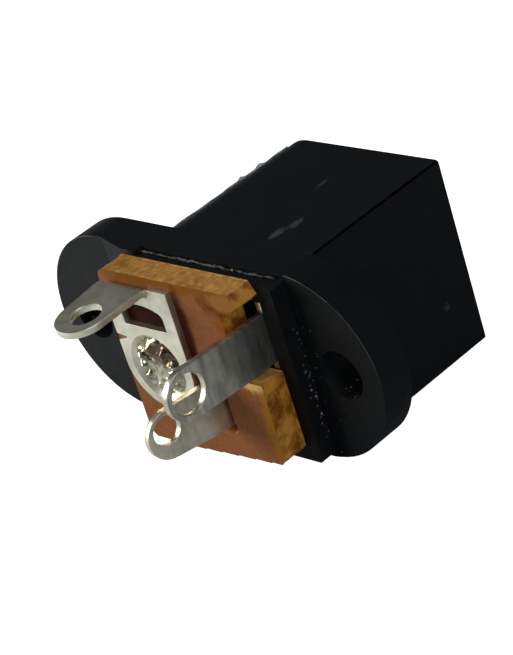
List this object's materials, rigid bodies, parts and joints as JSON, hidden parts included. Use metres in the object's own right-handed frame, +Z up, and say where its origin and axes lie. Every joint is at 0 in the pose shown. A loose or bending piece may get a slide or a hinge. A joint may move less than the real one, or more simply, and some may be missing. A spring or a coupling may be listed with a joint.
{
  "type": "dc barrel jack",
  "caption": "Panel-mount DC power socket: black block with a screw flange, socket bore with a centre pin, terminal board and solder tags.",
  "frame": {"origin": "midway between the two screw holes, in the flange face that bears on the panel", "axes": "+X along the screw holes towards the socket's side of the block, -Y out of the socket's mouth, +Y towards the solder tags, +Z up"},
  "size_m": [0.0244, 0.0203, 0.0111],
  "materials": {
    "housing": "satin",
    "board": "matte",
    "pin": "satin",
    "plate": "satin",
    "strip": "satin"
  },
  "bodies": {
    "root": {"housing": "housing", "terminal_board": "board", "centre_pin": "pin", "centre_terminal": "plate", "sleeve_contact": "strip", "switch_contact": "strip"}
  },
  "joints": []
}
